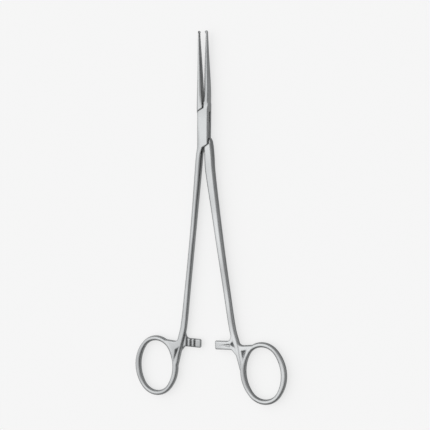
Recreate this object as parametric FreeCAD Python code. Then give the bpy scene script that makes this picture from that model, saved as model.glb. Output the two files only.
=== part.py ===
import FreeCAD, Part
import math
import os

# Long straight mosquito forceps with a box lock, two finger rings, a ratchet and 1x2 tip teeth.
# Three solid pieces: the arm that carries the box, the arm that passes through it, and the lock pin.
#
# Lengths are in millimetres. The origin lies on the pivot axis, in the flat back face of the box.
# +Z goes from the back face to the front face, +Y to the jaw tips midway between the arms,
# and +X to the right as seen from the front. The arms are drawn closed about the middle plane of
# the box, then each is swung out by half of the opening that they have when laid down.
# The right jaw, the box and the left ring are one arm. Its mirror half passes through the box.

# Reach from the pivot
tip_reach = 51.2
handle_reach = 148.3
laid_down_opening = 4.1

# Box
box_half_width = 3.2
box_thickness = 5.4
box_edge_radius = 0.95
box_neck_edge_radius = 2.5
box_neck_rounding_start = 3.5
box_neck_swell = 0.4
shoulder_at_middle = 10.3
shoulder_at_side = 8.45
window_end_at_side = 8.6
slot_height = 2.0
shoulder_clearance = 0.1
slot_clearance = 0.05
plate_runout_length = 3.6
plate_runout_drop = 0.45
section_spacing = 4.0
cutter_margin = 1.0

# Waist of the arm that passes through the box
waist_corner = 2.8
waist_corner_radius = 0.5
waist_root_overlap = 0.6

# Lock pin
pin_radius = 1.2
pin_running_clearance = 0.03

# Jaws, whose gripping plane lies a little to the right of the middle of the box
jaw_offset = 0.45
jaw_face_clearance = 0.03
jaw_root_start = 8.2
jaw_shoulder_reach = 20.2
jaw_middle_reach = 36.0
jaw_root_height = 5.2
jaw_shoulder_width = 2.74
jaw_shoulder_height = 4.95
jaw_middle_width = 1.6
jaw_middle_height = 3.7
jaw_tip_width = 0.78
jaw_tip_height = 1.95
jaw_nose_length = 0.35
jaw_nose_inset = 0.22
jaw_bevel_share = 0.46
jaw_bevel_drop = 0.27
jaw_root_bevel_drop = 0.14
serration_pitch = 0.86
serration_depth = 0.26
serration_land = 0.22
serrations = 43

# Tip teeth
tooth_length = 1.5
tooth_projection = 0.45
tooth_half_width = 0.26
tooth_clearance = 0.07
tooth_slope_length = 0.85

# Shanks, from the end of the box to the ratchet
shank_start = 22.4
shank_start_outer = 4.65
shank_end_outer = 12.25
shank_bow = 0.6
shank_start_height = 4.6
shank_end_height = 3.25
box_arm_start_width = 3.4
box_arm_middle_width = 2.9
box_arm_end_width = 3.55
passing_arm_start_width = 4.75
passing_arm_middle_width = 3.7
passing_arm_end_width = 3.65
box_arm_start_corner = 1.5
passing_arm_start_corner = 1.15
shank_end_corner = 1.3
neck_drop = 15.0
neck_height = 5.0
box_arm_neck_inner = 0.75
box_arm_neck_outer = 4.0
neck_root_length = 1.0
neck_root_inset = 0.1
box_arm_root_inset = 0.3
passing_arm_neck_inner = 0.0
passing_arm_neck_outer = 4.55
passing_arm_collar_drop = 7.4
passing_arm_collar_outer = 4.05
passing_arm_collar_top = 4.8
passing_arm_collar_top_outer = 2.9
passing_arm_collar_corner = 1.2
parting_clearance = 0.06

# Finger rings
ring_offset = 26.6
ring_opening_width = 19.5
ring_opening_length = 28.2
ring_side_rod_width = 3.2
ring_end_rod_width = 2.65
ring_rod_height = 3.2
ring_rod_rounding = 1.25
ring_opening_end_radius = 8.1
ring_lean = 0.85

# Ring root, where the shank runs into the side and the top of the ring
root_height = 2.9
root_edge_radius = 0.7
root_swell = 0.9
root_swell_length = 4.5
root_notch_radius = 2.4
root_notch_swell = 1.7
root_top_below_ring = 1.6
root_top_slope = 0.5
root_meets_ring_angle = 62.0
branch_width = 2.9
branch_swell = 0.9
branch_lean = 1.7
branch_meets_ring = 7.6
box_arm_pocket_offset = 0.55
box_arm_pocket_drop = 3.0
box_arm_pocket_width = 2.3
box_arm_pocket_slope = 1.3
box_arm_pocket_lean = 2.9
box_arm_pocket_length = 7.6
passing_arm_pocket_offset = 2.7
passing_arm_pocket_drop = 2.6
passing_arm_pocket_width = 3.3
passing_arm_pocket_slope = -0.6
passing_arm_pocket_lean = 0.9
passing_arm_pocket_length = 5.2
pocket_depth = 1.0
hollow_floor_share = 0.08

# Ratchet
ratchet_to_handle_end = 31.5
ratchet_width = 4.7
ratchet_below_shank = 6.0
ratchet_height = 1.5
box_arm_bar_start = 0.3
passing_arm_bar_start = 0.1
ratchet_tooth_pitch = 2.33
ratchet_tooth_height = 0.9
ratchet_first_tooth = 3.5
ratchet_valley_width = 1.05
ratchet_valley_floor = 0.15
ratchet_teeth = 3
ratchet_tooth_draft = 0.1
ratchet_lead_in = 0.2
ratchet_edge_radius = 0.65
ratchet_end_chamfer = 0.5
ratchet_fillet_above = 2.0
ratchet_fillet_below = 1.6
ratchet_root_above = 1.6
ratchet_root_below = 5.2
ratchet_root_lean = 0.9
crease_length = 6.0
crease_radius = 1.0
crease_lift = 0.45
crease_slope = 0.08
ratchet_hollow_width = 3.3
ratchet_hollow_lean = 1.8
ratchet_hollow_rise = 2.6
ratchet_hollow_middle = 0.4
ratchet_hollow_fall = 1.4
ratchet_hollow_depth = 1.1

# Places and sizes that follow from the values above
half_thickness = box_thickness / 2
waist_half_height = slot_height / 2 - slot_clearance
ring_drop = handle_reach - ring_opening_length / 2 - ring_end_rod_width
ring_half_width = (ring_opening_width + ring_side_rod_width) / 2
ring_half_length = (ring_opening_length + ring_end_rod_width) / 2
ring_side = ring_offset - ring_half_width
ring_top = ring_drop - ring_half_length - ring_end_rod_width / 2
ratchet_drop = handle_reach - ratchet_to_handle_end
ratchet_top = ratchet_drop - ratchet_width / 2
ratchet_bottom = ratchet_drop + ratchet_width / 2
shank_end = ratchet_top - ratchet_below_shank
shoulder_slope = (shoulder_at_middle - shoulder_at_side) / box_half_width
window_slope = (shoulder_at_middle - window_end_at_side) / box_half_width
shoulder_at_jaws = shoulder_at_middle + shoulder_slope * jaw_offset
branch_at_ratchet = ring_side - 2 * branch_lean


def point(x, y, z=0.0):
    return FreeCAD.Vector(x, y, z)


def prism(corners, low, high):
    """Solid over a plan outline, between two levels."""
    outline = [point(x, y, low) for x, y in corners]
    face = Part.Face(Part.makePolygon(outline + outline[:1]))
    return face.extrude(point(0, 0, high - low))


def rounded_wire(corners, place):
    """Closed wire through corners (across, up, radius), with an arc wherever the radius is not nought."""
    arcs = []
    for index, (across, up, radius) in enumerate(corners):
        corner = point(across, up)
        before = point(*corners[index - 1][:2]) - corner
        after = point(*corners[(index + 1) % len(corners)][:2]) - corner
        before.normalize()
        after.normalize()
        half_angle = before.getAngle(after) / 2
        setback = radius / math.tan(half_angle)
        towards_centre = before + after
        towards_centre.normalize()
        middle = corner + towards_centre * (radius / math.sin(half_angle) - radius)
        arcs.append((corner + before * setback, middle, corner + after * setback, radius))
    edges = []
    for index, (start, middle, end, radius) in enumerate(arcs):
        if radius:
            edges.append(Part.Arc(place(start), place(middle), place(end)).toShape())
        following = arcs[(index + 1) % len(arcs)][0]
        edges.append(Part.LineSegment(place(end), place(following)).toShape())
    return Part.Wire(edges)


def rounded_prism(corners, low, high):
    """Solid over a plan outline with rounded corners."""
    wire = rounded_wire(corners, lambda spot: point(spot.x, spot.y, low))
    return Part.Face(wire).extrude(point(0, 0, high - low))


def mirrored(corners, side):
    """The same plan corners on the left (-1) or right (+1) side of the instrument."""
    return [(corner[0] * side,) + tuple(corner[1:]) for corner in corners]


def smooth_rows(keys, spacing):
    """Rows that run smoothly through key rows, whose first value is the place along the arm."""
    slopes = []
    for index in range(len(keys)):
        before = keys[max(index - 1, 0)]
        after = keys[min(index + 1, len(keys) - 1)]
        slopes.append([(high - low) / (after[0] - before[0]) for low, high in zip(before, after)])
    rows = []
    for index in range(len(keys) - 1):
        length = keys[index + 1][0] - keys[index][0]
        steps = max(3, round(abs(length) / spacing))
        for step in range(steps):
            t = step / steps
            rows.append([start * (2 * t ** 3 - 3 * t ** 2 + 1) + leaving * length * (t ** 3 - 2 * t ** 2 + t)
                         + end * (3 * t ** 2 - 2 * t ** 3) + arriving * length * (t ** 3 - t ** 2)
                         for start, end, leaving, arriving
                         in zip(keys[index], keys[index + 1], slopes[index], slopes[index + 1])])
    rows.append(list(keys[-1]))
    return rows


def bar_section(inner, outer, y, height, corner_radius, side):
    """Rounded rectangle across a shank at one place along it."""
    up = height / 2
    corners = [(inner, -up, corner_radius), (outer, -up, corner_radius),
               (outer, up, corner_radius), (inner, up, corner_radius)]
    return rounded_wire(mirrored(corners, side), lambda spot: point(spot.x, y, spot.y))


def jaw_section(width, height, bevel_drop, y, side):
    """Jaw section: flat gripping face, inner bevel, flat top and rounded outer corners."""
    face = jaw_face_clearance
    up = height / 2
    ridge = jaw_bevel_share * width
    edge = up * (1 - bevel_drop)
    rounding = width / 2
    corners = [(face, -edge, 0), (ridge, -up, 0), (width, -up, rounding),
               (width, up, rounding), (ridge, up, 0), (face, edge, 0)]
    return rounded_wire(mirrored(corners, side), lambda spot: point(spot.x, y, spot.y))


def serration_comb(side):
    """Row of V grooves to cut from a gripping face."""
    outside = -cutter_margin
    start = tip_reach - tooth_length - serration_land - serrations * serration_pitch
    corners = [(outside, start)]
    for index in range(serrations):
        low = start + index * serration_pitch
        high = low + serration_pitch - serration_land
        corners.append((jaw_face_clearance, low))
        corners.append((jaw_face_clearance + serration_depth, (low + high) / 2))
        corners.append((jaw_face_clearance, high))
    corners.append((outside, corners[-1][1]))
    return prism(mirrored(corners, side), -half_thickness, half_thickness)


def tooth(side, low, high):
    """Pointed tooth that leans from the gripping face across the middle, between two levels."""
    root = jaw_tip_width / 2
    start = tip_reach - tooth_length
    end = tip_reach - jaw_nose_length
    corners = [(root, start), (jaw_face_clearance, start), (-tooth_projection, start + tooth_slope_length),
               (-tooth_projection, end), (jaw_face_clearance, (end + tip_reach) / 2), (root, end)]
    return prism(mirrored(corners, side), low, high)


def tooth_recess(side, low, high):
    """Hollow in a gripping face that takes a tooth of the other jaw, with clearance."""
    depth = tooth_projection + tooth_clearance
    start = tip_reach - tooth_length - tooth_clearance
    beyond = tip_reach + cutter_margin
    corners = [(-cutter_margin, start), (jaw_face_clearance, start),
               (depth, start + tooth_slope_length - tooth_clearance), (depth, beyond),
               (-cutter_margin, beyond)]
    return prism(mirrored(corners, side), low, high)


def jaw(side, single_tooth):
    """One jaw, closed, with its cross grooves and its share of the 1x2 teeth."""
    nose_start = tip_reach - jaw_nose_length
    root_width = box_half_width - side * jaw_offset
    rows = smooth_rows([(jaw_root_start, root_width, jaw_root_height, jaw_root_bevel_drop),
                        (shoulder_at_middle, root_width, jaw_root_height, jaw_root_bevel_drop),
                        (jaw_shoulder_reach, jaw_shoulder_width, jaw_shoulder_height, jaw_bevel_drop),
                        (jaw_middle_reach, jaw_middle_width, jaw_middle_height, jaw_bevel_drop),
                        (nose_start, jaw_tip_width, jaw_tip_height, jaw_bevel_drop)], section_spacing)
    body = Part.makeLoft([jaw_section(width, height, drop, y, side) for y, width, height, drop in rows],
                         True, True)
    end_width = jaw_tip_width - jaw_nose_inset
    end_height = jaw_tip_height - 2 * jaw_nose_inset
    nose = Part.makeLoft([jaw_section(jaw_tip_width, jaw_tip_height, jaw_bevel_drop, nose_start, side),
                          jaw_section(end_width, end_height, jaw_bevel_drop, tip_reach, side)], True, True)
    shape = body.fuse(nose).cut(serration_comb(side))
    inner = tooth_half_width
    outer = jaw_tip_height / 2 - 2 * tooth_clearance
    beside = inner + tooth_clearance
    if single_tooth:
        for low, high in ((-half_thickness, -inner), (inner, half_thickness)):
            shape = shape.cut(tooth_recess(side, low, high))
        shape = shape.fuse(tooth(side, -inner, inner))
    else:
        shape = shape.cut(tooth_recess(side, -beside, beside))
        for low, high in ((-outer, -beside), (beside, outer)):
            shape = shape.fuse(tooth(side, low, high))
    shape.translate(point(jaw_offset, 0))
    return shape


def along_shank(share, start, middle, end):
    """Smooth value along a shank from its start, middle and end values."""
    return (start * (1 - share) * (1 - 2 * share) + 4 * middle * share * (1 - share)
            + end * share * (2 * share - 1))


def shank_keys(widths, start_corner):
    """Key rows from below the box to above the ratchet: drop, inner and outer edge, height, corner."""
    keys = []
    steps = 4
    for step in range(steps + 1):
        share = step / steps
        outer = (shank_start_outer + (shank_end_outer - shank_start_outer) * share
                 - 4 * shank_bow * share * (1 - share))
        keys.append((shank_start + (shank_end - shank_start) * share,
                     outer - along_shank(share, *widths), outer,
                     shank_start_height + (shank_end_height - shank_start_height) * share,
                     start_corner + (shank_end_corner - start_corner) * share))
    return keys


def branch_keys():
    """Key rows from the ratchet down to the side of the ring."""
    half = branch_width / 2
    middle = ring_side - branch_lean
    return [(ratchet_drop, branch_at_ratchet - half, branch_at_ratchet + half + branch_swell,
             shank_end_height, shank_end_corner),
            (ring_drop - branch_meets_ring, middle - half, middle + half, ring_rod_height, shank_end_corner),
            (ring_drop, ring_side - half, ring_side + half, shank_end_height - 2 * neck_root_inset,
             shank_end_corner)]


def shank(side, neck, widths, start_corner):
    """One shank, from inside the box or its collar to the side of the ring."""
    rows = smooth_rows(neck + shank_keys(widths, start_corner) + branch_keys(), section_spacing)
    sections = [bar_section(inner, outer, -drop, height, corner, side)
                for drop, inner, outer, height, corner in rows]
    return Part.makeLoft(sections, True, True)


def box_arm_shank():
    """Left shank with the neck that grows out of the box."""
    root_outer = box_half_width - box_arm_root_inset
    neck = [(shoulder_at_side - neck_root_length, parting_clearance, root_outer,
             box_thickness - 2 * box_arm_root_inset, root_outer / 2 - parting_clearance),
            (neck_drop, box_arm_neck_inner, box_arm_neck_outer, neck_height, box_arm_start_corner)]
    widths = (box_arm_start_width, box_arm_middle_width, box_arm_end_width)
    return shank(-1, neck, widths, box_arm_start_corner)


def passing_arm_shank():
    """Right shank with the collar that stands out beside the box."""
    neck = [(passing_arm_collar_top, parting_clearance, passing_arm_collar_top_outer,
             box_thickness - 4 * neck_root_inset, passing_arm_collar_corner),
            (passing_arm_collar_drop, parting_clearance, passing_arm_collar_outer,
             box_thickness - 2 * neck_root_inset, passing_arm_collar_corner),
            (neck_drop, passing_arm_neck_inner, passing_arm_neck_outer, neck_height,
             passing_arm_start_corner)]
    widths = (passing_arm_start_width, passing_arm_middle_width, passing_arm_end_width)
    return shank(1, neck, widths, passing_arm_start_corner)


def flat_edges(shape):
    """Edges that lie in one level."""
    return [edge for edge in shape.Edges if edge.BoundBox.ZLength < 0.001]


def oval(half_width, half_length, end_radius, level):
    """Flat oval of four tangent arcs."""
    end_offset = half_length - end_radius
    side_radius = ((half_width ** 2 + end_offset ** 2 - end_radius ** 2)
                   / (2 * (half_width - end_radius)))
    side_offset = side_radius - half_width
    turn = math.atan2(end_offset, side_offset)
    spans = [(-side_offset, 0, side_radius, -turn, turn),
             (0, end_offset, end_radius, turn, math.pi - turn),
             (side_offset, 0, side_radius, math.pi - turn, math.pi + turn),
             (0, -end_offset, end_radius, math.pi + turn, 2 * math.pi - turn)]
    edges = []
    for x, y, radius, start, end in spans:
        spots = [point(x + radius * math.cos(angle), y + radius * math.sin(angle), level)
                 for angle in (start, (start + end) / 2, end)]
        edges.append(Part.Arc(*spots).toShape())
    return Part.Face(Part.Wire(edges))


def ring(side):
    """Oval finger ring whose rod is wider at the sides than at the ends."""
    low = -ring_rod_height / 2
    up = point(0, 0, ring_rod_height)
    outer = oval(ring_opening_width / 2 + ring_side_rod_width, ring_opening_length / 2 + ring_end_rod_width,
                 ring_opening_end_radius + ring_end_rod_width, low)
    opening = oval(ring_opening_width / 2, ring_opening_length / 2, ring_opening_end_radius, low)
    shape = outer.extrude(up).cut(opening.extrude(up))
    shape = shape.makeFillet(ring_rod_rounding, flat_edges(shape))
    shape.rotate(point(0, 0), point(0, 0, 1), side * ring_lean)
    shape.translate(point(side * ring_offset, -ring_drop))
    return shape


def ring_centre_line(angle):
    """Plan point on the middle of the right ring's rod, the angle measured from its inner side."""
    turn = math.radians(angle)
    return (ring_offset - ring_half_width * math.cos(turn), -ring_drop + ring_half_length * math.sin(turn), 0)


def ring_root(side):
    """Web that fills the corner between shank and ring."""
    lateral = shank_end_outer + root_swell
    top = -ring_top - root_top_below_ring
    meet = ring_centre_line(root_meets_ring_angle)
    corners = [(shank_end_outer - 2 * root_swell, -shank_end, 0),
               (shank_end_outer, -shank_end - root_swell, 0),
               (lateral, -shank_end - root_swell_length, 0),
               (shank_end_outer + root_notch_swell, top - root_top_slope, root_notch_radius),
               (meet[0], top, 0), meet,
               ring_centre_line(root_meets_ring_angle * 2 / 3), ring_centre_line(root_meets_ring_angle / 3),
               (ring_side - branch_lean, -ring_drop + branch_meets_ring / 2, 0),
               (shank_end_outer, -ratchet_bottom, 0)]
    web = rounded_prism(mirrored(corners, side), -root_height / 2, root_height / 2)
    exposed = [edge for edge in flat_edges(web)
               if edge.CenterOfMass.x * side > shank_end_outer + root_swell / 3
               and edge.CenterOfMass.y > top - root_top_slope - root_edge_radius / 2]
    return web.makeFillet(root_edge_radius, exposed)


def sunk_wire(corners, floor_share, level):
    """Three-cornered outline, drawn in towards its middle by a share of its size."""
    middle = [sum(values) / len(corners) for values in zip(*corners)]
    spots = [point(middle[0] + (x - middle[0]) * floor_share, middle[1] + (y - middle[1]) * floor_share,
                   level) for x, y in corners]
    return Part.makePolygon(spots + spots[:1])


def tapered_hollow(corners, surface, depth):
    """Cutter for a hollow whose walls slope in from its outline in the surface to a smaller floor."""
    above = 1 + (1 - hollow_floor_share) * cutter_margin / abs(depth)
    beyond = surface + math.copysign(cutter_margin, depth)
    return Part.makeLoft([sunk_wire(corners, hollow_floor_share, surface - depth),
                          sunk_wire(corners, above, beyond)], True, True)


def ring_root_pockets(side, offset, drop, width, slope, lean, length):
    """Three-cornered hollows in the front and back of one ring root."""
    inner = shank_end_outer + offset
    top = -ratchet_drop - drop
    corners = mirrored([(inner, top), (inner + width, top - slope), (inner + lean, top - length)], side)
    surface = root_height / 2
    return tapered_hollow(corners, surface, pocket_depth).fuse(
        tapered_hollow(corners, -surface, -pocket_depth))


def ratchet_hollow():
    """Three-cornered hollow in the front of the right arm, where the ratchet bar leaves the shank."""
    inner = shank_end_outer - passing_arm_end_width
    corners = [(inner, ratchet_hollow_middle - ratchet_drop),
               (inner + ratchet_hollow_lean, ratchet_hollow_rise - ratchet_drop),
               (inner + ratchet_hollow_width, -ratchet_hollow_fall - ratchet_drop)]
    return tapered_hollow(corners, shank_end_height / 2, ratchet_hollow_depth)


def ratchet_profile(start):
    """Side view of a ratchet bar whose teeth catch when the bars slide together."""
    crest = ratchet_tooth_height / 2
    root = ring_side - branch_lean
    profile = [(start, -ratchet_height), (root, -ratchet_height), (root, crest)]
    for index in reversed(range(ratchet_teeth)):
        wall = ratchet_first_tooth + index * ratchet_tooth_pitch
        profile += [(wall + ratchet_valley_width, crest), (wall + ratchet_valley_floor, -crest),
                    (wall, -crest), (wall - ratchet_tooth_draft, crest)]
    return profile + [(start, crest - ratchet_lead_in)]


def ratchet_bar(side, start, end_width):
    """Ratchet bar: teeth rise from the middle plane, on the front of one arm and the back of the other."""
    depth = ratchet_width + ratchet_fillet_above + ratchet_root_above + ratchet_root_below
    lowest = -ratchet_bottom - ratchet_root_below
    outline = [point(x * side, lowest, z * -side) for x, z in ratchet_profile(start)]
    toothed = Part.Face(Part.makePolygon(outline + outline[:1])).extrude(point(0, depth, 0))
    cut = ratchet_end_chamfer
    inner = shank_end_outer - end_width
    above = -ratchet_top + ratchet_fillet_above + ratchet_root_above
    corners = [(start, -ratchet_top - cut, 0), (start + cut, -ratchet_top, 0),
               (inner, -ratchet_top, ratchet_fillet_above), (inner + ratchet_root_lean, above, 0),
               (branch_at_ratchet - ratchet_root_lean / 2, above, 0),
               (ring_side - branch_lean, lowest, 0),
               (inner + ratchet_root_lean, -ratchet_bottom, ratchet_fillet_below),
               (start + cut, -ratchet_bottom, 0), (start, -ratchet_bottom + cut, 0)]
    low, high = sorted((side * ratchet_height, -side * ratchet_tooth_height / 2))
    plan = rounded_prism(mirrored(corners, side), low, high)
    return toothed.common(plan.makeFillet(ratchet_edge_radius, flat_edges(plan)))


def crease():
    """Shallow groove along the front of the right ratchet bar that deepens towards the shank."""
    start = point(shank_end_outer - passing_arm_end_width, -ratchet_drop, ratchet_height + crease_lift)
    return Part.makeCone(crease_radius, 0.0, crease_length, start, point(-1, 0, -crease_slope))


def box_section(y, neck_side_radius, neck_side_width):
    """Rounded rectangle across the box, with its own width and rounding on the side of the left shank."""
    up = half_thickness
    corners = [(-neck_side_width, -up, neck_side_radius), (box_half_width, -up, box_edge_radius),
               (box_half_width, up, box_edge_radius), (-neck_side_width, up, neck_side_radius)]
    return rounded_wire(corners, lambda spot: point(spot.x, y, spot.y))


def box_block():
    """Box with rounded long edges, whose front and back plates run out into the jaw and the shank."""
    reach = shoulder_at_middle + plate_runout_length
    up = half_thickness
    swollen = box_half_width + box_neck_swell
    rows = smooth_rows([(reach, box_edge_radius, box_half_width),
                        (box_neck_rounding_start, box_edge_radius, box_half_width),
                        (-shoulder_at_side, box_neck_edge_radius, swollen),
                        (-reach, box_neck_edge_radius, swollen)], section_spacing)
    block = Part.makeLoft([box_section(y, radius, width) for y, radius, width in rows], True, True)
    low = up - plate_runout_drop
    side_view = [(-reach, -low), (-shoulder_at_middle, -up), (shoulder_at_middle, -up), (reach, -low),
                 (reach, low), (shoulder_at_middle, up), (-shoulder_at_middle, up), (-reach, low)]
    wide = box_half_width + cutter_margin
    outline = [point(-wide, y, z) for y, z in side_view]
    sloped = Part.Face(Part.makePolygon(outline + outline[:1])).extrude(point(2 * wide, 0, 0))
    face = parting_clearance / 2
    at_wide = shoulder_at_middle - shoulder_slope * wide
    jaw_side = box_half_width - plate_runout_drop
    neck_side = box_arm_neck_inner + plate_runout_drop
    plan = prism([(-wide, at_wide), (jaw_offset + face, shoulder_at_jaws), (jaw_offset + 2 * face, reach),
                  (jaw_side, reach),
                  (wide, shoulder_at_side), (wide, -at_wide), (-face, -shoulder_at_middle),
                  (-neck_side, -reach), (-wide, -reach)], -half_thickness, half_thickness)
    return block.common(sloped).common(plan)


def window():
    """Slot through the box in which the other arm swings."""
    far = 3 * box_half_width
    end_far = shoulder_at_middle - window_slope * far
    top = shoulder_at_middle + plate_runout_length + cutter_margin
    corners = [(-far, top), (jaw_offset, top),
               (jaw_offset, shoulder_at_middle - window_slope * jaw_offset), (far, end_far),
               (far, -top), (0, -top), (0, -shoulder_at_middle), (-far, -end_far)]
    return prism(corners, -slot_height / 2, slot_height / 2)


def waist():
    """Thin part of the passing arm that fills the window from upper left to lower right."""
    side_x = box_half_width - shoulder_clearance / 2
    inner = parting_clearance
    top = shoulder_at_middle + waist_root_overlap
    turn = shoulder_at_middle - shoulder_clearance
    corners = [(-side_x, top, 0), (-inner, top, 0), (-inner, turn, 0),
               (side_x, waist_corner, waist_corner_radius), (side_x, -top, 0), (inner, -top, 0),
               (inner, -turn, 0), (-side_x, -waist_corner, waist_corner_radius)]
    return rounded_prism(corners, -waist_half_height, waist_half_height)


def cheek_room():
    """Room for the two cheeks of the box, to cut from the passing arm."""
    gap = shoulder_clearance
    side_x = box_half_width + gap
    at_side = shoulder_at_middle - shoulder_slope * side_x + gap
    middle = shoulder_at_middle + gap
    corners = [(-side_x, at_side), (jaw_offset, shoulder_at_jaws + gap), (side_x, shoulder_at_jaws + gap),
               (side_x, -at_side), (0, -middle), (-side_x, -middle)]
    front = prism(corners, waist_half_height, half_thickness + cutter_margin)
    back = prism(corners, -half_thickness - cutter_margin, -waist_half_height)
    return front.fuse(back)


def pin_bore(radius):
    """Bore along the pivot axis."""
    return Part.makeCylinder(radius, 2 * box_thickness, point(0, 0, -box_thickness))


def finished(shape):
    """The piece with its joined faces merged, as one solid."""
    solids = shape.removeSplitter().Solids
    return solids[0] if len(solids) == 1 else Part.makeCompound(solids)


def laid_down(shape, side):
    """Swing a closed arm out by its half of the opening and stand the box on its back face."""
    shape.rotate(point(0, 0), point(0, 0, 1), side * laid_down_opening / 2)
    shape.translate(point(0, 0, half_thickness))
    return shape


def box_arm():
    """Arm with the right jaw, the box, the left ring and the ratchet teeth that face the front."""
    pockets = ring_root_pockets(-1, box_arm_pocket_offset, box_arm_pocket_drop, box_arm_pocket_width,
                                box_arm_pocket_slope, box_arm_pocket_lean, box_arm_pocket_length)
    handle = box_arm_shank().fuse(ring(-1)).fuse(ring_root(-1)).cut(pockets)
    handle = handle.fuse(ratchet_bar(-1, box_arm_bar_start, box_arm_end_width))
    middle = box_block().fuse(jaw(1, False))
    shape = middle.fuse(handle).cut(window()).cut(pin_bore(pin_radius))
    return laid_down(finished(shape), -1)


def passing_arm():
    """Arm with the left jaw, the waist, the right ring and the ratchet teeth that face the back."""
    pockets = ring_root_pockets(1, passing_arm_pocket_offset, passing_arm_pocket_drop,
                                passing_arm_pocket_width, passing_arm_pocket_slope,
                                passing_arm_pocket_lean, passing_arm_pocket_length)
    handle = passing_arm_shank().fuse(ring(1)).fuse(ring_root(1)).cut(pockets)
    handle = handle.fuse(ratchet_bar(1, passing_arm_bar_start, passing_arm_end_width))
    handle = handle.cut(crease()).cut(ratchet_hollow())
    shape = handle.fuse(jaw(-1, True)).cut(cheek_room()).fuse(waist())
    shape = shape.cut(pin_bore(pin_radius + pin_running_clearance))
    return laid_down(finished(shape), 1)


def lock_pin():
    """Pin of the box lock, ground flush with both faces of the box."""
    return Part.makeCylinder(pin_radius, box_thickness)


os.makedirs("parts", exist_ok=True)
pieces = {"box_arm": box_arm(), "passing_arm": passing_arm(), "lock_pin": lock_pin()}
for name, solid in pieces.items():
    solid.exportStep("parts/" + name + ".step")
    size = solid.BoundBox
    print(name, "valid", solid.isValid(), "solids", len(solid.Solids), "volume", round(solid.Volume, 2),
          "x", round(size.XMin, 2), round(size.XMax, 2), "y", round(size.YMin, 2), round(size.YMax, 2),
          "z", round(size.ZMin, 2), round(size.ZMax, 2))
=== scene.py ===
import math
import bpy
from mathutils import Matrix, Vector

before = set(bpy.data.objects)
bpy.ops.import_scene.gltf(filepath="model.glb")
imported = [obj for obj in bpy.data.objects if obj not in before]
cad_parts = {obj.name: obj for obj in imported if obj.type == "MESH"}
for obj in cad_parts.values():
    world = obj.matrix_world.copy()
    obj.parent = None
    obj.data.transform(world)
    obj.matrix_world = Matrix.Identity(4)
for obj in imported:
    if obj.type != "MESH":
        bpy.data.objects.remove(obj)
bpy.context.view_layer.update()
scene = bpy.context.scene
print("stage: arms and lock pin loaded")


# Camera: looks down on the front of the box lock, turned towards the right ring
cameraValues = {
    "turnDegrees": 22.0,            # towards the right side of the forceps
    "tiltDegrees": -4.1,            # towards the jaw tips
    "rollDegrees": -1.1,
    "distance": 0.4802,             # from the pivot, metres
    "focalPixels": 901.3,           # for a picture 430 pixels wide
    "picturePixels": 430,
    "pivotInPicture": (204.1, 128.0),
    "pivotHeight": 0.0027,
}


def placeCamera(values):
    turn = math.radians(values["turnDegrees"])
    tilt = math.radians(values["tiltDegrees"])
    roll = math.radians(values["rollDegrees"])
    toCamera = Vector((math.sin(turn) * math.cos(tilt), -math.sin(tilt), math.cos(turn) * math.cos(tilt)))
    upright = Vector((0, 1, 0))
    pictureUp = (upright - toCamera * upright.dot(toCamera)).normalized()
    pictureRight = pictureUp.cross(toCamera)
    right = pictureRight * math.cos(roll) + pictureUp * math.sin(roll)
    up = pictureUp * math.cos(roll) - pictureRight * math.sin(roll)
    middle = values["picturePixels"] / 2
    across = (values["pivotInPicture"][0] - middle) / values["focalPixels"] * values["distance"]
    upwards = (middle - values["pivotInPicture"][1]) / values["focalPixels"] * values["distance"]
    pivot = Vector((0, 0, values["pivotHeight"]))
    place = toCamera * values["distance"] - right * across - up * upwards + pivot
    data = bpy.data.cameras.new("frontCamera")
    data.sensor_fit = "HORIZONTAL"
    data.sensor_width = 36.0
    data.lens = values["focalPixels"] / values["picturePixels"] * data.sensor_width
    data.clip_start = 0.01
    data.clip_end = 200
    camera = bpy.data.objects.new("frontCamera", data)
    scene.collection.objects.link(camera)
    camera.matrix_world = Matrix.Translation(place) @ Matrix((right, up, toCamera)).transposed().to_4x4()
    scene.camera = camera


placeCamera(cameraValues)
print("stage: camera placed")


# Small helpers for node trees
def addNode(tree, kind, at, **settings):
    node = tree.nodes.new(kind)
    node.location = at
    for name, value in settings.items():
        setattr(node, name, value)
    return node


def setInputs(node, **values):
    for name, value in values.items():
        node.inputs[name].default_value = value


def newGroup(name, inputs, outputs):
    group = bpy.data.node_groups.new(name, "ShaderNodeTree")
    for label, kind, value in inputs:
        socket = group.interface.new_socket(name=label, in_out="INPUT", socket_type=kind)
        socket.default_value = value
    for label, kind in outputs:
        group.interface.new_socket(name=label, in_out="OUTPUT", socket_type=kind)
    start = addNode(group, "NodeGroupInput", (-900, 0))
    end = addNode(group, "NodeGroupOutput", (900, 0))
    return group, start, end


def mathNode(tree, operation, first, second, at, clamp=False):
    node = addNode(tree, "ShaderNodeMath", at, operation=operation, use_clamp=clamp)
    for socket, value in zip(node.inputs, (first, second)):
        if isinstance(value, (int, float)):
            socket.default_value = value
        elif value is not None:
            tree.links.new(value, socket)
    return node.outputs[0]


def mapRange(tree, value, fromLow, fromHigh, toLow, toHigh, at):
    node = addNode(tree, "ShaderNodeMapRange", at, interpolation_type="SMOOTHSTEP")
    tree.links.new(value, node.inputs["Value"])
    for name, limit in (("From Min", fromLow), ("From Max", fromHigh), ("To Min", toLow), ("To Max", toHigh)):
        if isinstance(limit, (int, float)):
            node.inputs[name].default_value = limit
        else:
            tree.links.new(limit, node.inputs[name])
    return node.outputs["Result"]


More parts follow.
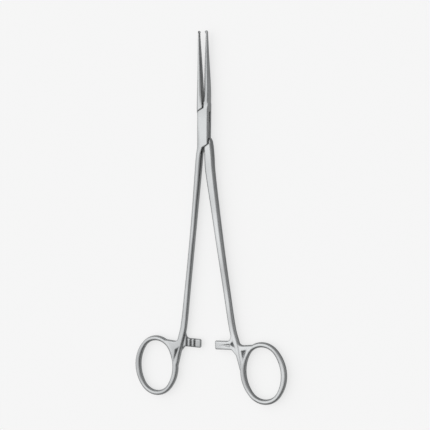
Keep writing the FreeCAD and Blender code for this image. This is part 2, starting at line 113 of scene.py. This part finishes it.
# Fine lines that a polishing belt leaves along the arms, and a slow unevenness from hand finishing
def makeSatinGrain():
    group, start, end = newGroup("satinGrain", [
        ("Lines Per Metre", "NodeSocketFloat", 4000.0),
        ("Line Stretch", "NodeSocketFloat", 25.0),
        ("Unevenness Per Metre", "NodeSocketFloat", 60.0),
    ], [("Lines", "NodeSocketFloat"), ("Unevenness", "NodeSocketFloat"), ("Clouds", "NodeSocketFloat")])
    links = group.links
    place = addNode(group, "ShaderNodeTexCoord", (-900, 300)).outputs["Object"]
    along = mathNode(group, "DIVIDE", 1.0, start.outputs["Line Stretch"], (-700, 100))
    squeeze = addNode(group, "ShaderNodeCombineXYZ", (-500, 100))
    setInputs(squeeze, X=1.0, Z=1.0)
    links.new(along, squeeze.inputs["Y"])
    stretched = addNode(group, "ShaderNodeVectorMath", (-300, 250), operation="MULTIPLY")
    links.new(place, stretched.inputs[0])
    links.new(squeeze.outputs[0], stretched.inputs[1])
    lines = addNode(group, "ShaderNodeTexNoise", (0, 300))
    setInputs(lines, Detail=3.0, Roughness=0.6)
    links.new(stretched.outputs[0], lines.inputs["Vector"])
    links.new(start.outputs["Lines Per Metre"], lines.inputs["Scale"])
    slow = addNode(group, "ShaderNodeTexNoise", (0, 0))
    setInputs(slow, Detail=1.0, Roughness=0.4)
    links.new(place, slow.inputs["Vector"])
    links.new(start.outputs["Unevenness Per Metre"], slow.inputs["Scale"])
    clouds = addNode(group, "ShaderNodeTexNoise", (0, -300))
    setInputs(clouds, Detail=4.0, Roughness=0.55)
    links.new(place, clouds.inputs["Vector"])
    cloudsPerWave = 6.0
    wavesPerMetre = start.outputs["Unevenness Per Metre"]
    cloudScale = mathNode(group, "MULTIPLY", wavesPerMetre, cloudsPerWave, (-300, -300))
    links.new(cloudScale, clouds.inputs["Scale"])
    for label, node in (("Lines", lines), ("Unevenness", slow), ("Clouds", clouds)):
        links.new(node.outputs["Fac"], end.inputs[label])
    return group


# Rounded edges: a normal that turns softly over them, but not round the lock pin, which is ground flush
def makeRoundedEdges():
    group, start, end = newGroup("roundedEdges", [
        ("Radius", "NodeSocketFloat", 0.001),
        ("Flush Radius", "NodeSocketFloat", 0.002),
    ], [("Normal", "NodeSocketVector")])
    links = group.links
    place = addNode(group, "ShaderNodeTexCoord", (-900, 400)).outputs["Object"]
    across = addNode(group, "ShaderNodeVectorMath", (-700, 400), operation="MULTIPLY")
    across.inputs[1].default_value = (1, 1, 0)
    links.new(place, across.inputs[0])
    fromPin = addNode(group, "ShaderNodeVectorMath", (-500, 400), operation="LENGTH")
    links.new(across.outputs[0], fromPin.inputs[0])
    outside = mathNode(group, "GREATER_THAN", fromPin.outputs["Value"], start.outputs["Flush Radius"],
                       (-300, 400))
    rounded = addNode(group, "ShaderNodeBevel", (-300, 100), samples=6)
    links.new(start.outputs["Radius"], rounded.inputs["Radius"])
    plain = addNode(group, "ShaderNodeNewGeometry", (-300, -100))
    normal = addNode(group, "ShaderNodeMix", (300, 200), data_type="VECTOR")
    links.new(outside, normal.inputs["Factor"])
    links.new(plain.outputs["Normal"], normal.inputs["A"])
    links.new(rounded.outputs["Normal"], normal.inputs["B"])
    links.new(normal.outputs["Result"], end.inputs["Normal"])
    return group


# Crevices: painted shade that darkens the colour where nearby surfaces or the floor close in, with rougher
# steel there
def makeCreviceShadeAndRoughness():
    group, start, end = newGroup("creviceShadeAndRoughness", [
        ("Depth", "NodeSocketFloat", 0.001),
        ("Strength", "NodeSocketFloat", 1.0),
    ], [("Mask", "NodeSocketFloat")])
    reach = addNode(group, "ShaderNodeAmbientOcclusion", (-400, 0), samples=8)
    group.links.new(start.outputs["Depth"], reach.inputs["Distance"])
    closedAt, openAt = 0.15, 0.8    # share of the surroundings that a crevice sees
    mask = mapRange(group, reach.outputs["AO"], closedAt, openAt, 1.0, 0.0, (0, 0))
    mask = mathNode(group, "MULTIPLY", mask, start.outputs["Strength"], (300, 0))
    group.links.new(mask, end.inputs["Mask"])
    return group


# Upright faces: painted shade darkens their colour, and they are rougher than the front and the back, as the
# polishing wheel leaves them
def makeSideShadeAndRoughness():
    group, start, end = newGroup("sideShadeAndRoughness", [
        ("Strength", "NodeSocketFloat", 1.0),
    ], [("Mask", "NodeSocketFloat")])
    normal = addNode(group, "ShaderNodeNewGeometry", (-700, 0)).outputs["Normal"]
    parts = addNode(group, "ShaderNodeSeparateXYZ", (-500, 0))
    group.links.new(normal, parts.inputs[0])
    level = mathNode(group, "ABSOLUTE", parts.outputs["Z"], None, (-250, 0))
    sideAt, frontAt = 0.1, 0.75    # how squarely a face looks to the front or the back
    mask = mapRange(group, level, sideAt, frontAt, 1.0, 0.0, (0, 0))
    mask = mathNode(group, "MULTIPLY", mask, start.outputs["Strength"], (300, 0))
    group.links.new(mask, end.inputs["Mask"])
    return group


satinGrain = makeSatinGrain()
roundedEdges = makeRoundedEdges()
creviceShadeAndRoughness = makeCreviceShadeAndRoughness()
sideShadeAndRoughness = makeSideShadeAndRoughness()
print("stage: shared effects built")


# Surgical steel with a satin finish
boxArmSteel = {
    "colour": (0.37, 0.378, 0.382, 1),
    "paintedSideShadeColour": (0.2, 0.206, 0.207, 1),   # painted shade on the narrow sides
    "creviceShadeColour": (0.06, 0.062, 0.062, 1),     # painted shade in crevices
    "roughness": 0.17,
    "roughnessSpread": 0.06,
    "linesPerMetre": 5200.0,
    "lineStretch": 30.0,                       # length of a line, in widths
    "lineHeight": 0.0000015,                   # metres
    "unevennessPerMetre": 30.0,
    "unevennessHeight": 0.005,
    "edgeRadius": 0.001,                       # metres
    "flushRadius": 0.0022,                     # from the pin's axis, metres
    "creviceDepth": 0.002,                     # metres
    "creviceStrength": 0.9,
    "creviceRoughness": 0.15,                  # added in crevices
    "uprightStrength": 1.0,
    "uprightRoughness": 0.2,                   # added on the narrow sides
}
# The passing arm is the same steel, painted lighter on its fronts and with darker painted shade on its sides
passingArmSteel = dict(boxArmSteel, colour=(0.40, 0.408, 0.412, 1), paintedSideShadeColour=(0.13, 0.134, 0.135, 1))
lockPinSteel = dict(boxArmSteel, lineStretch=1.0)


def makeSteel(name, values):
    material = bpy.data.materials.new(name)
    material.use_nodes = True
    tree = material.node_tree
    tree.nodes.clear()
    links = tree.links
    output = addNode(tree, "ShaderNodeOutputMaterial", (1200, 0))
    steel = addNode(tree, "ShaderNodeBsdfPrincipled", (900, 0))
    setInputs(steel, Metallic=1.0)
    links.new(steel.outputs["BSDF"], output.inputs["Surface"])
    grain = addNode(tree, "ShaderNodeGroup", (-800, 200), node_tree=satinGrain)
    grain.inputs["Lines Per Metre"].default_value = values["linesPerMetre"]
    grain.inputs["Line Stretch"].default_value = values["lineStretch"]
    grain.inputs["Unevenness Per Metre"].default_value = values["unevennessPerMetre"]
    edges = addNode(tree, "ShaderNodeGroup", (-800, -100), node_tree=roundedEdges)
    setInputs(edges, **{"Radius": values["edgeRadius"], "Flush Radius": values["flushRadius"]})
    creviceMaskNode = addNode(tree, "ShaderNodeGroup", (-800, -350), node_tree=creviceShadeAndRoughness)
    setInputs(creviceMaskNode, Depth=values["creviceDepth"], Strength=values["creviceStrength"])
    # Painted shade: the narrow upright sides get a darker colour, and more roughness
    upright = addNode(tree, "ShaderNodeGroup", (-800, -600), node_tree=sideShadeAndRoughness)
    setInputs(upright, Strength=values["uprightStrength"])
    base = addNode(tree, "ShaderNodeMix", (-300, 400), data_type="RGBA")
    base.inputs["A"].default_value = values["colour"]
    base.inputs["B"].default_value = values["paintedSideShadeColour"]
    links.new(upright.outputs["Mask"], base.inputs["Factor"])
    # Painted shade: crevices and places close to other parts or the floor are darkened towards the crevice
    # shade colour
    shadedInCrevices = addNode(tree, "ShaderNodeMix", (0, 400), data_type="RGBA")
    links.new(base.outputs["Result"], shadedInCrevices.inputs["A"])
    shadedInCrevices.inputs["B"].default_value = values["creviceShadeColour"]
    links.new(creviceMaskNode.outputs["Mask"], shadedInCrevices.inputs["Factor"])
    links.new(shadedInCrevices.outputs["Result"], steel.inputs["Base Color"])
    cloudLow, cloudHigh = 0.3, 0.7    # range of the cloud noise that the roughness follows
    smoothest = values["roughness"] - values["roughnessSpread"]
    roughest = values["roughness"] + values["roughnessSpread"]
    rough = mapRange(tree, grain.outputs["Clouds"], cloudLow, cloudHigh, smoothest, roughest, (-300, 0))
    inCrevices = mathNode(tree, "MULTIPLY", creviceMaskNode.outputs["Mask"], values["creviceRoughness"], (-300, -250))
    onSides = mathNode(tree, "MULTIPLY", upright.outputs["Mask"], values["uprightRoughness"], (-300, -450))
    rough = mathNode(tree, "ADD", rough, inCrevices, (0, 0))
    rough = mathNode(tree, "ADD", rough, onSides, (250, 0))
    links.new(rough, steel.inputs["Roughness"])
    slow = addNode(tree, "ShaderNodeBump", (300, -300))
    setInputs(slow, Strength=1.0, Distance=values["unevennessHeight"])
    links.new(grain.outputs["Unevenness"], slow.inputs["Height"])
    links.new(edges.outputs["Normal"], slow.inputs["Normal"])
    fine = addNode(tree, "ShaderNodeBump", (600, -300))
    setInputs(fine, Strength=1.0, Distance=values["lineHeight"])
    links.new(grain.outputs["Lines"], fine.inputs["Height"])
    links.new(slow.outputs["Normal"], fine.inputs["Normal"])
    links.new(fine.outputs["Normal"], steel.inputs["Normal"])
    return material


for node, values in (("box_arm", boxArmSteel), ("passing_arm", passingArmSteel), ("lock_pin", lockPinSteel)):
    steel = makeSteel(node + "_satin_steel", values)
    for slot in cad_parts[node].material_slots:
        slot.material = steel
print("stage: steel finishes assigned")


# Floor and light: a pale table under a broad soft light from the left and a weaker one from above
stageValues = {
    "floorColour": (0.9, 0.9, 0.9, 1),
    "floorRadius": 60.0,              # metres
    "floorSides": 96,
    "floorGap": 0.00005,              # below the back of the arms, metres
    "floorRoughness": 0.9,
    "glowColour": (0.94, 0.94, 0.94, 1),
    "floorGlow": 0.72,                # share of the floor that the camera sees as evenly white
    "lightFrom": (-0.6, 0.2, 0.77),
    "lightBright": 1.63,
    "lightDark": 0.22,                # level of the surroundings outside both lights
    "lightStart": 0.4,                # cosine of the angle from lightFrom where the light begins
    "lightFull": 1.0,                 # cosine of the angle where it is at its brightest
    "fillFrom": (0.3, 0.3, 0.9),
    "fillBright": 0.54,
    "fillStart": 0.5,
    "fillFull": 1.0,
}


def makeFloor(values):
    mesh = bpy.data.meshes.new("floor")
    sides = values["floorSides"]
    angles = [2 * math.pi * index / sides for index in range(sides)]
    radius = values["floorRadius"]
    rim = [(radius * math.cos(angle), radius * math.sin(angle), -values["floorGap"]) for angle in angles]
    mesh.from_pydata(rim, [], [list(range(sides))])
    floor = bpy.data.objects.new("floor", mesh)
    scene.collection.objects.link(floor)
    material = bpy.data.materials.new("paleTable")
    material.use_nodes = True
    tree = material.node_tree
    surface = tree.nodes["Principled BSDF"]
    setInputs(surface, **{"Base Color": values["floorColour"], "Roughness": values["floorRoughness"],
                          "Specular IOR Level": 0.0})
    glow = addNode(tree, "ShaderNodeEmission", (0, -200))
    setInputs(glow, Color=values["glowColour"], Strength=1.0)
    ray = addNode(tree, "ShaderNodeLightPath", (-700, 200)).outputs
    seen = mathNode(tree, "ADD", ray["Is Camera Ray"], ray["Is Glossy Ray"], (-450, 200))
    seen = mathNode(tree, "ADD", seen, ray["Is Transmission Ray"], (-250, 200), clamp=True)
    blend = addNode(tree, "ShaderNodeMixShader", (300, 0))
    tree.links.new(mathNode(tree, "MULTIPLY", seen, values["floorGlow"], (0, 200)), blend.inputs["Fac"])
    tree.links.new(surface.outputs[0], blend.inputs[1])
    tree.links.new(glow.outputs[0], blend.inputs[2])
    tree.links.new(blend.outputs[0], tree.nodes["Material Output"].inputs["Surface"])
    mesh.materials.append(material)


# One round soft light of the surroundings, brightest at its middle and fading to its rim
def softLamp(tree, direction, lampFrom, start, full, dark, bright, row):
    nearness = addNode(tree, "ShaderNodeVectorMath", (-750, row), operation="DOT_PRODUCT")
    nearness.inputs[1].default_value = Vector(lampFrom).normalized()
    tree.links.new(direction, nearness.inputs[0])
    return mapRange(tree, nearness.outputs["Value"], start, full, dark, bright, (-500, row))


def makeLight(values):
    world = bpy.data.worlds.new("studio")
    scene.world = world
    world.use_nodes = True
    tree = world.node_tree
    background = tree.nodes["Background"]
    direction = addNode(tree, "ShaderNodeTexCoord", (-1000, 0)).outputs["Generated"]
    main = softLamp(tree, direction, values["lightFrom"], values["lightStart"], values["lightFull"],
                    values["lightDark"], values["lightBright"], 0)
    fill = softLamp(tree, direction, values["fillFrom"], values["fillStart"], values["fillFull"],
                    0.0, values["fillBright"], -300)
    tree.links.new(mathNode(tree, "ADD", main, fill, (-250, 0)), background.inputs["Strength"])
    background.inputs["Color"].default_value = (1, 1, 1, 1)


makeFloor(stageValues)
makeLight(stageValues)
scene.view_settings.view_transform = "Standard"
print("stage: floor and light made")
